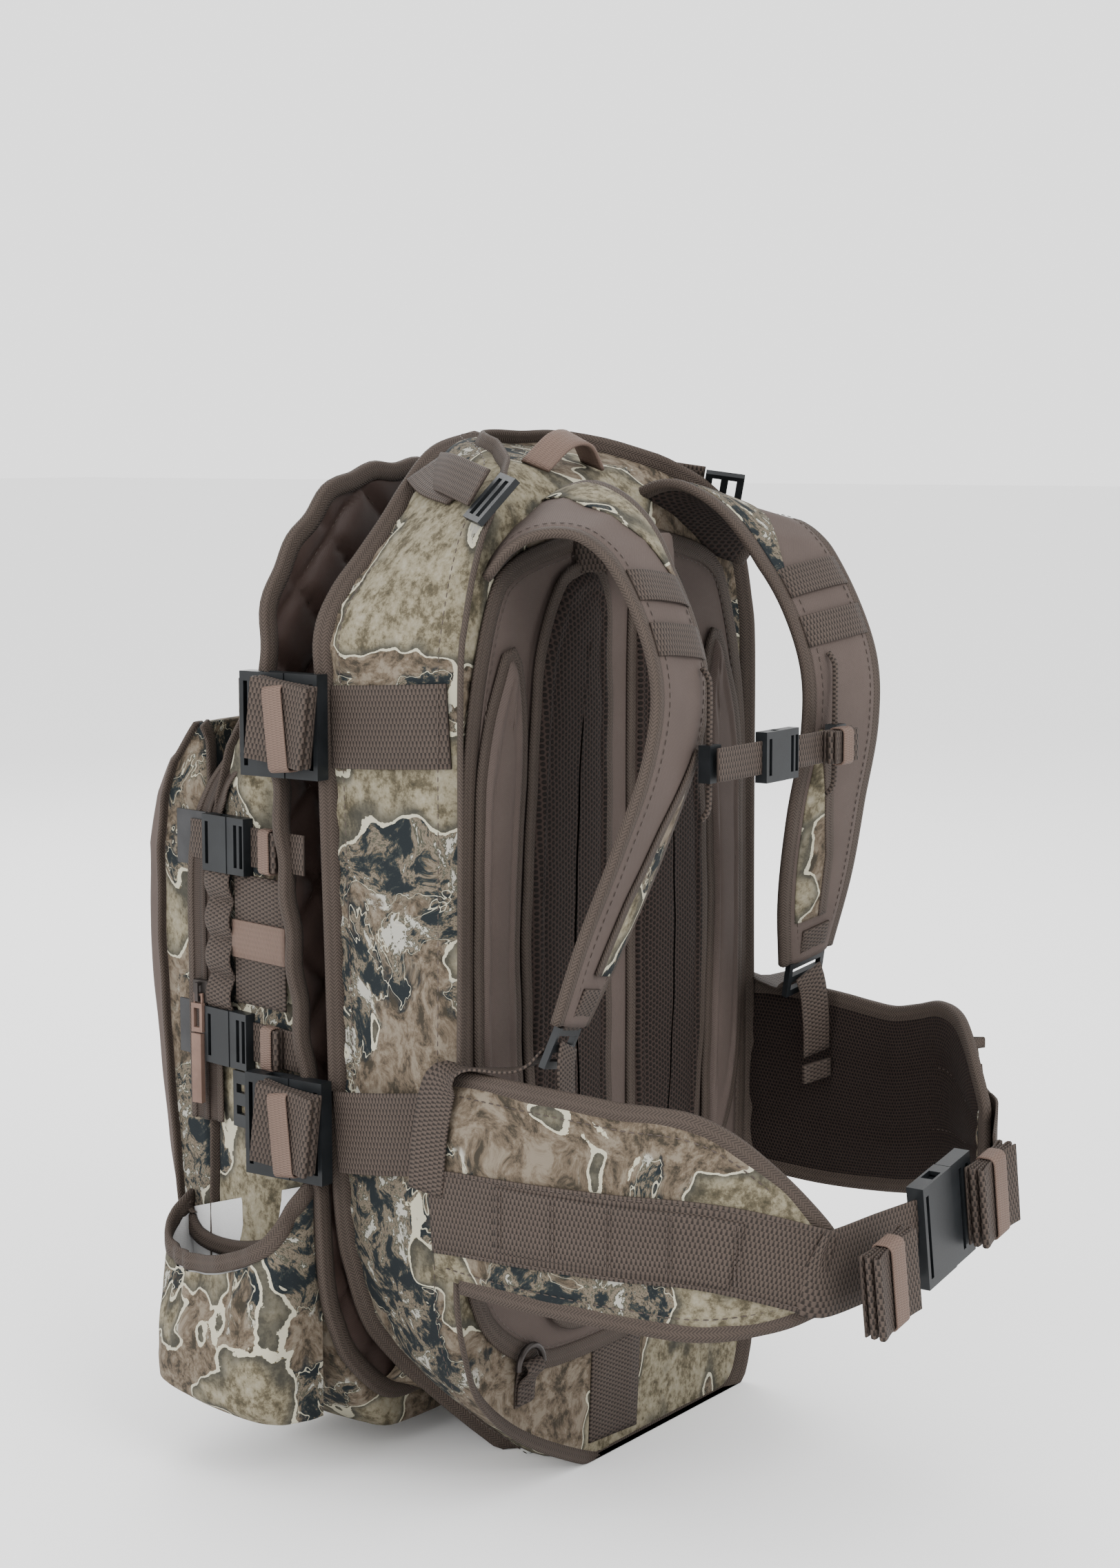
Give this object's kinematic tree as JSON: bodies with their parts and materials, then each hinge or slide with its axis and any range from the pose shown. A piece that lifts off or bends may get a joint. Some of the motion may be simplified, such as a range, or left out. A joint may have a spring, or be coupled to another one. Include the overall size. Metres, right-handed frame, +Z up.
{
  "type": "hunting backpack",
  "caption": "Hunting backpack with a harness body, a lined bow slot, an outer pocket module, shoulder straps and a padded waist belt.",
  "frame": {"origin": "centre of the bottom of the whole pack's box", "axes": "+Z up along the pack's height, +X to the pack's right seen from the wearer's side, -Y towards the wearer"},
  "size_m": [0.3982, 0.558, 0.6529],
  "materials": {
    "camouflage": "printed knit cloth",
    "plain_fabric": "matt oxford weave",
    "quilted_lining": "quilted satin",
    "air_mesh": "open mesh",
    "webbing": "woven webbing",
    "elastic": "ribbed elastic",
    "cord": "braided cord",
    "zip_coil": "coil zip tape",
    "rubber_patch": "moulded rubber",
    "zip_metal": "dark painted",
    "zip_pull": "moulded cord pull",
    "sheet_plastic": "matt",
    "aluminium_stay": "brushed",
    "buckle_plastic": "satin moulded"
  },
  "bodies": {
    "pack": {"harness_shell": "camouflage", "frame_sheet": "sheet_plastic", "frame_stays": "aluminium_stay", "back_panel": "plain_fabric", "mesh_pads": "air_mesh", "side_pads": "plain_fabric", "spine_binding": "plain_fabric", "shoulder_strap_left": "plain_fabric", "shoulder_strap_right": "plain_fabric", "compression_webs": "webbing", "belt_wing_left": "camouflage", "belt_wing_right": "camouflage", "waist_webs": "webbing", "waist_socket": "buckle_plastic", "belt_pouch": "camouflage", "shoulder_webs": "webbing", "load_lifters": "webbing", "lifter_locks": "buckle_plastic", "haul_loop": "webbing", "grab_handle": "webbing", "chest_rails": "cord", "lower_webbing": "webbing"},
    "outer_pack": {"slot_liner": "quilted_lining", "main_compartment": "camouflage", "front_pocket": "camouflage", "bottle_pocket_left": "camouflage", "bottle_pocket_right": "camouflage", "compression_sockets": "buckle_plastic", "compression_plugs": "buckle_plastic", "compression_tails": "webbing", "compression_keepers": "elastic", "side_webbing": "webbing", "column_ladder_locks": "buckle_plastic", "small_sockets": "buckle_plastic", "small_webs": "webbing", "rubber_patches": "rubber_patch", "main_zip": "zip_coil"},
    "waist_plug": {"waist_plug": "buckle_plastic", "waist_tail_right": "webbing", "waist_keeper_right": "elastic"},
    "chest_strap": {"chest_sliders": "buckle_plastic", "chest_webs": "webbing", "chest_socket": "buckle_plastic", "chest_tail": "webbing", "chest_keeper": "elastic"},
    "chest_plug": {"chest_plug": "buckle_plastic"},
    "small_plug_upper_left": {"small_plug_upper_left": "buckle_plastic"},
    "small_plug_upper_right": {"small_plug_upper_right": "buckle_plastic"},
    "small_plug_lower_left": {"small_plug_lower_left": "buckle_plastic"},
    "small_plug_lower_right": {"small_plug_lower_right": "buckle_plastic"},
    "zip_slider_left": {"zip_slider_left": "zip_metal"},
    "zip_slider_right": {"zip_slider_right": "zip_metal"},
    "zip_pull_left": {"zip_pull_left": "zip_pull"},
    "zip_pull_right": {"zip_pull_right": "zip_pull"},
    "d_ring_left": {"d_ring_left": "buckle_plastic"},
    "d_ring_right": {"d_ring_right": "buckle_plastic"},
    "ladder_lock_left": {"ladder_lock_left": "buckle_plastic", "lock_tail_left": "webbing"},
    "ladder_lock_right": {"ladder_lock_right": "buckle_plastic", "lock_tail_right": "webbing"}
  },
  "joints": [
    {"name": "outer_pack_let_out", "type": "slide", "parent": "pack", "child": "outer_pack", "axis": [0, 1, 0], "range_m": [0, 0.05]},
    {"name": "waist_plug_release", "type": "slide", "parent": "pack", "child": "waist_plug", "axis": [0.9848, 0, 0.1736], "range_m": [0, 0.036]},
    {"name": "chest_strap_height", "type": "slide", "parent": "pack", "child": "chest_strap", "axis": [0, 0, 1], "range_m": [-0.01251, 0.03444]},
    {"name": "chest_plug_release", "type": "slide", "parent": "chest_strap", "child": "chest_plug", "axis": [1, 0, 0], "range_m": [0, 0.022]},
    {"name": "small_buckle_release_upper_left", "type": "slide", "parent": "outer_pack", "child": "small_plug_upper_left", "axis": [-0.1908, -0.9816, 0], "range_m": [0, 0.012]},
    {"name": "small_buckle_release_upper_right", "type": "slide", "parent": "outer_pack", "child": "small_plug_upper_right", "axis": [0.1908, -0.9816, 0], "range_m": [0, 0.012]},
    {"name": "small_buckle_release_lower_left", "type": "slide", "parent": "outer_pack", "child": "small_plug_lower_left", "axis": [-0.1908, -0.9816, 0], "range_m": [0, 0.012]},
    {"name": "small_buckle_release_lower_right", "type": "slide", "parent": "outer_pack", "child": "small_plug_lower_right", "axis": [0.1908, -0.9816, 0], "range_m": [0, 0.012]},
    {"name": "zip_slide_left", "type": "slide", "parent": "outer_pack", "child": "zip_slider_left", "axis": [0, 0, 1], "range_m": [0, 0.0708]},
    {"name": "zip_pull_swing_left", "type": "hinge", "parent": "zip_slider_left", "child": "zip_pull_left", "pos_m": [-0.14189, 0.19733, 0.2954], "axis": [0, 1, 0], "range_deg": [0, 100]},
    {"name": "ladder_lock_lift_left", "type": "hinge", "parent": "pack", "child": "ladder_lock_left", "pos_m": [-0.13801, -0.08677, 0.30628], "axis": [-0.9564, -0.217, 0.1957], "range_deg": [0, 18]},
    {"name": "d_ring_swing_left", "type": "hinge", "parent": "pack", "child": "d_ring_left", "pos_m": [-0.0978, -0.03185, 0.08256], "axis": [1, 0, 0], "range_deg": [0, 80]},
    {"name": "zip_slide_right", "type": "slide", "parent": "outer_pack", "child": "zip_slider_right", "axis": [0, 0, 1], "range_m": [0, 0.0708]},
    {"name": "zip_pull_swing_right", "type": "hinge", "parent": "zip_slider_right", "child": "zip_pull_right", "pos_m": [0.14189, 0.19733, 0.2954], "axis": [0, -1, 0], "range_deg": [0, 100]},
    {"name": "ladder_lock_lift_right", "type": "hinge", "parent": "pack", "child": "ladder_lock_right", "pos_m": [0.13801, -0.08677, 0.30628], "axis": [-0.9564, 0.217, -0.1957], "range_deg": [0, 18]},
    {"name": "d_ring_swing_right", "type": "hinge", "parent": "pack", "child": "d_ring_right", "pos_m": [0.0978, -0.03185, 0.08256], "axis": [1, 0, 0], "range_deg": [0, 80]}
  ]
}
